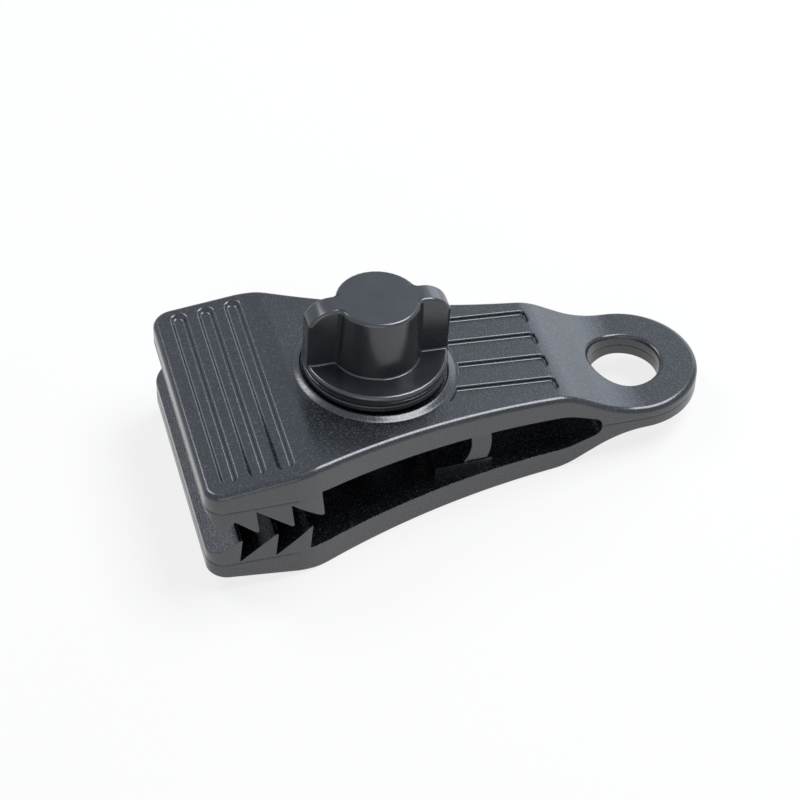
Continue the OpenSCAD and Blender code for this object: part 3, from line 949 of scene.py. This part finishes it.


# %% Spark-eroded nylon
# Each spark leaves a pit of a fraction of a millimetre. A pit tips the light its own way and is a
# bit more or less glossy than its neighbour, so the surface glitters. Some pits are painted pale:
# partly scuffed tips, and partly painted glints of light.
# Walls that slid along the mould have only a trace of it, and their paler colour is a painted
# reflection of the pale floor. The pits are drawn 0.22 mm wide, about twice the real ones, because
# finer ones would not show. The Mix node has sockets of the same name for each kind of data, so
# those for colours are taken by their numbers.
PIT, PIT_DEPTH = 0.00022, 0.000024
MIX_A, MIX_B, MIX_RESULT = 6, 7, 2
grained, tree = material("black nylon, spark-eroded mould")
coords = add(tree, "ShaderNodeTexCoord").outputs["Object"]
grain = add(tree, "ShaderNodeAttribute", attribute_name="grain").outputs["Fac"]
pits = add(tree, "ShaderNodeTexVoronoi", {"Vector": coords}, Scale=1 / PIT)
chance = add(tree, "ShaderNodeSeparateColor", {"Color": pits.outputs["Color"]}).outputs
depth = add(tree, "ShaderNodeMapRange", {"Value": grain}, From_Min=EDGE_GRAIN, To_Min=0.15)
bumps = {"Height": pits.outputs["Distance"], "Strength": depth.outputs["Result"]}
relief = add(tree, "ShaderNodeBump", bumps, Distance=PIT_DEPTH)
rough = add(tree, "ShaderNodeMapRange", {"Value": chance["Green"]}, To_Min=0.17, To_Max=0.3)
# The palest pits are painted glints of light as well as scuffed tips.
scuffs_and_painted_glints = add(tree, "ShaderNodeValToRGB", {"Fac": chance["Red"]})
scuffs_and_painted_glints.color_ramp.elements[0].color = linear("#0c0e11")
scuffs_and_painted_glints.color_ramp.elements[1].color = linear("#3c4249")
scuffs_and_painted_glints.color_ramp.elements.new(0.85).color = linear("#12161b")
grained_vs_painted_wall_sheen = add(
    tree,
    "ShaderNodeMapRange",
    {"Value": grain},
    From_Min=WALL_GRAIN,
    From_Max=EDGE_GRAIN,
    To_Min=0.25,
)
# Walls take the paler colour, a painted reflection of the pale floor.
tone = add(tree, "ShaderNodeMix", {"Factor": grained_vs_painted_wall_sheen.outputs["Result"]}, data_type="RGBA")
tone.inputs[MIX_A].default_value = linear("#424346")
tree.links.new(scuffs_and_painted_glints.outputs["Color"], tone.inputs[MIX_B])
skin = add(
    tree,
    "ShaderNodeBsdfPrincipled",
    {
        "Normal": relief.outputs["Normal"],
        "Roughness": rough.outputs["Result"],
        "Base Color": tone.outputs[MIX_RESULT],
    },
    IOR=1.66,
)
add(tree, "ShaderNodeOutputMaterial", {"Surface": skin.outputs["BSDF"]})
print(grained.name, "has", len(tree.nodes), "nodes")

# %% Satin nylon
# The knob's mould was finished with fine paper: the skin is dark and shows the studio as soft
# bands of light. Fingers leave patches of a few millimetres that are a little duller. The marks
# of the paper are drawn 0.3 mm wide, which is coarser than the real ones, so that they show.
PATCH, PAPER_MARK, PAPER_DEPTH = 0.003, 0.0003, 0.000004
satin, tree = material("black nylon, satin mould")
coords = add(tree, "ShaderNodeTexCoord").outputs["Object"]
patches = add(tree, "ShaderNodeTexNoise", {"Vector": coords}, Scale=1 / PATCH, Detail=3.0)
marks = add(tree, "ShaderNodeTexNoise", {"Vector": coords}, Scale=1 / PAPER_MARK, Detail=1.0)
rough = add(
    tree,
    "ShaderNodeMapRange",
    {"Value": patches.outputs["Fac"]},
    From_Min=0.3,
    From_Max=0.7,
    To_Min=0.18,
    To_Max=0.26,
)
tone = add(tree, "ShaderNodeValToRGB", {"Fac": marks.outputs["Fac"]})
tone.color_ramp.elements[0].color = linear("#181a1c")
tone.color_ramp.elements[1].color = linear("#282a2e")
relief = add(tree, "ShaderNodeBump", {"Height": marks.outputs["Fac"]}, Distance=PAPER_DEPTH)
skin = add(
    tree,
    "ShaderNodeBsdfPrincipled",
    {
        "Normal": relief.outputs["Normal"],
        "Roughness": rough.outputs["Result"],
        "Base Color": tone.outputs["Color"],
    },
    IOR=1.7,
)
add(tree, "ShaderNodeOutputMaterial", {"Surface": skin.outputs["BSDF"]})
print(satin.name, "has", len(tree.nodes), "nodes")

# %% Zinc-plated steel
# Bright zinc with a clear passivation: silver with faint bluish and yellowish clouds, and a fine
# relief from the drawn wire under it.
CLOUD, GRIT, GRIT_DEPTH = 0.002, 0.0002, 0.00001
zinc, tree = material("steel, bright zinc plating")
coords = add(tree, "ShaderNodeTexCoord").outputs["Object"]
clouds = add(tree, "ShaderNodeTexNoise", {"Vector": coords}, Scale=1 / CLOUD, Detail=3.0)
grit = add(tree, "ShaderNodeTexNoise", {"Vector": coords}, Scale=1 / GRIT, Detail=1.0)
tone = add(tree, "ShaderNodeValToRGB", {"Fac": clouds.outputs["Fac"]})
bluish, yellowish = tone.color_ramp.elements
bluish.position, yellowish.position = 0.35, 0.65
bluish.color, yellowish.color = linear("#bcc4cf"), linear("#cfccbf")
rough = add(
    tree,
    "ShaderNodeMapRange",
    {"Value": grit.outputs["Fac"]},
    From_Min=0.3,
    From_Max=0.7,
    To_Min=0.22,
    To_Max=0.38,
)
relief = add(tree, "ShaderNodeBump", {"Height": grit.outputs["Fac"]}, Distance=GRIT_DEPTH)
skin = add(
    tree,
    "ShaderNodeBsdfPrincipled",
    {
        "Normal": relief.outputs["Normal"],
        "Roughness": rough.outputs["Result"],
        "Base Color": tone.outputs["Color"],
    },
    Metallic=1.0,
)
add(tree, "ShaderNodeOutputMaterial", {"Surface": skin.outputs["BSDF"]})
print(zinc.name, "has", len(tree.nodes), "nodes")

# %% Give each piece its finish
for piece, finish in (
    (lower, grained),
    (upper, grained),
    (leaf, grained),
    (washer, satin),
    (knob, satin),
    (screw, zinc),
    (nut, zinc),
):
    piece.data.materials.clear()
    piece.data.materials.append(finish)
    print(piece.name, "is", finish.name)

# %% [markdown]
# ## Floor, light and camera
# The photograph is a plain product shot on white. The side walls get their grey from the pale
# floor, which they mirror, and the tops from the white room behind the clip. Part of the floor's
# white is given to camera and glossy rays straight away, so that it stays white and the clip's
# shadow on it stays light. In the same way those rays see the room brighter than it shines on the
# clip.

# %% Put down the floor and the surrounding light
FLOOR_R, FLOOR_SHARE, ROOM_LIGHT, ROOM_SEEN = 3.0, 0.8, 0.15, 1.0
bm = bmesh.new()
bmesh.ops.create_circle(bm, cap_ends=True, segments=ROUND_STEPS, radius=FLOOR_R)
floor = to_object(bm, "floor")


def seen_directly(tree):
    """1 for camera, glossy and transmission rays, and 0 for the light that falls on things."""
    ray = add(tree, "ShaderNodeLightPath").outputs
    mirrored = add(tree, "ShaderNodeMath", operation="MAXIMUM")
    either = add(tree, "ShaderNodeMath", operation="MAXIMUM")
    tree.links.new(ray["Is Glossy Ray"], mirrored.inputs[0])
    tree.links.new(ray["Is Transmission Ray"], mirrored.inputs[1])
    tree.links.new(ray["Is Camera Ray"], either.inputs[0])
    tree.links.new(mirrored.outputs["Value"], either.inputs[1])
    return either.outputs["Value"]


paper, tree = material("white paper")
matt = add(tree, "ShaderNodeBsdfDiffuse", Color=linear("#f4f4f4"))
white = add(tree, "ShaderNodeEmission", Color=linear("#ffffff"), Strength=1.0)
seen = {"Value": seen_directly(tree)}
share = add(tree, "ShaderNodeMapRange", seen, To_Min=0.0, To_Max=FLOOR_SHARE)
both = add(tree, "ShaderNodeMixShader", {"Fac": share.outputs["Result"]})
tree.links.new(matt.outputs["BSDF"], both.inputs[1])
tree.links.new(white.outputs["Emission"], both.inputs[2])
add(tree, "ShaderNodeOutputMaterial", {"Surface": both.outputs["Shader"]})
floor.data.materials.append(paper)

world = bpy.data.worlds.new("white studio")
world.use_nodes = True
world.node_tree.nodes.clear()
scene.world = world
tree = world.node_tree
seen = {"Value": seen_directly(tree)}
level = add(tree, "ShaderNodeMapRange", seen, To_Min=ROOM_LIGHT, To_Max=ROOM_SEEN)
strength = {"Strength": level.outputs["Result"]}
sky = add(tree, "ShaderNodeBackground", strength, Color=linear("#dce6f5"))
add(tree, "ShaderNodeOutputWorld", {"Surface": sky.outputs["Background"]})
print("floor of", paper.name, "in a", world.name)

# %% [markdown]
# A lamp high on the right draws the bright lines along the rounded edges. Another, on the left
# and farther back, lights the left of the mound and the walls of the grooves. Two faint ones
# behind on the right lift the waist and the slope to the eye, and one in front fills the slot.

# %% Set up the lamps
CLIP_MIDDLE = Vector((0, 0, 0.012))


def soft_box(name, direction, distance, width, height, radiance, colour):
    """A lamp that shines on the clip from a direction and looks this bright in a mirror."""
    lamp = bpy.data.lights.new(name, "AREA")
    lamp.shape, lamp.size, lamp.size_y = "RECTANGLE", width, height
    lamp.color, lamp.energy = linear(colour)[:3], math.pi * width * height * radiance
    light = bpy.data.objects.new(name, lamp)
    away = Vector(direction).normalized()
    light.location = CLIP_MIDDLE + away * distance
    light.rotation_euler = away.to_track_quat("Z", "Y").to_euler()
    scene.collection.objects.link(light)
    print(name, "lamp of", round(lamp.energy, 2), "W")


soft_box("key", (0.48, 0.07, 0.87), 0.75, 0.5, 0.36, 9.0, "#fafcff")
soft_box("left key", (-0.42, 0.52, 0.745), 0.75, 0.22, 0.30, 7.0, "#fafcff")
soft_box("rear", (0.54, 0.67, 0.51), 0.8, 0.3, 0.4, 0.5, "#e8f0ff")
soft_box("right rear", (0.69, 0.69, 0.20), 0.8, 0.45, 0.45, 1.4, "#e8f0ff")
soft_box("front fill", (-0.3, -0.9, 0.35), 0.9, 0.7, 0.7, 1.0, "#ffffff")

# %% [markdown]
# The camera stands where the photographer's did: its place and lens were fitted to the corners of
# the clip in the photograph. It is set up in the drawing's frame, like the pieces, and goes
# through the same matrix.

# %% Set up the camera
ELEVATION, AZIMUTH, ROLL = (math.radians(angle) for angle in (43.037, 16.235, 1.718))
AIM_X, DISTANCE = 52.2, 451.26
FOCAL_PX, MIDDLE_U, MIDDLE_V, IMAGE_PX, SENSOR = 2663.0, 481.69, 392.77, 800, 36.0
away = Vector((math.sin(AZIMUTH), math.cos(AZIMUTH), 0))
across = Vector((math.cos(AZIMUTH), -math.sin(AZIMUTH), 0))
forward = away * math.cos(ELEVATION) - Vector((0, 0, 1)) * math.sin(ELEVATION)
upward = away * math.sin(ELEVATION) + Vector((0, 0, 1)) * math.cos(ELEVATION)
right = across * math.cos(ROLL) + upward * math.sin(ROLL)
up = upward * math.cos(ROLL) - across * math.sin(ROLL)
per_px = DISTANCE / FOCAL_PX
place = Vector((AIM_X, 0, 0)) - forward * DISTANCE
place += -right * (MIDDLE_U - IMAGE_PX / 2) * per_px - up * (IMAGE_PX / 2 - MIDDLE_V) * per_px
aimed = (Matrix.Rotation(TILT, 3, "Y") @ Matrix((right, up, -forward)).transposed()).to_4x4()
camera = bpy.data.objects.new("camera", bpy.data.cameras.new("camera"))
camera.data.sensor_width, camera.data.lens = SENSOR, FOCAL_PX * SENSOR / IMAGE_PX
camera.matrix_world = Matrix.Translation(LYING @ place) @ aimed
scene.collection.objects.link(camera)
scene.camera = camera
scene.view_settings.view_transform = "Standard"
print("camera at", [round(c, 3) for c in camera.location], "lens", round(camera.data.lens, 1))
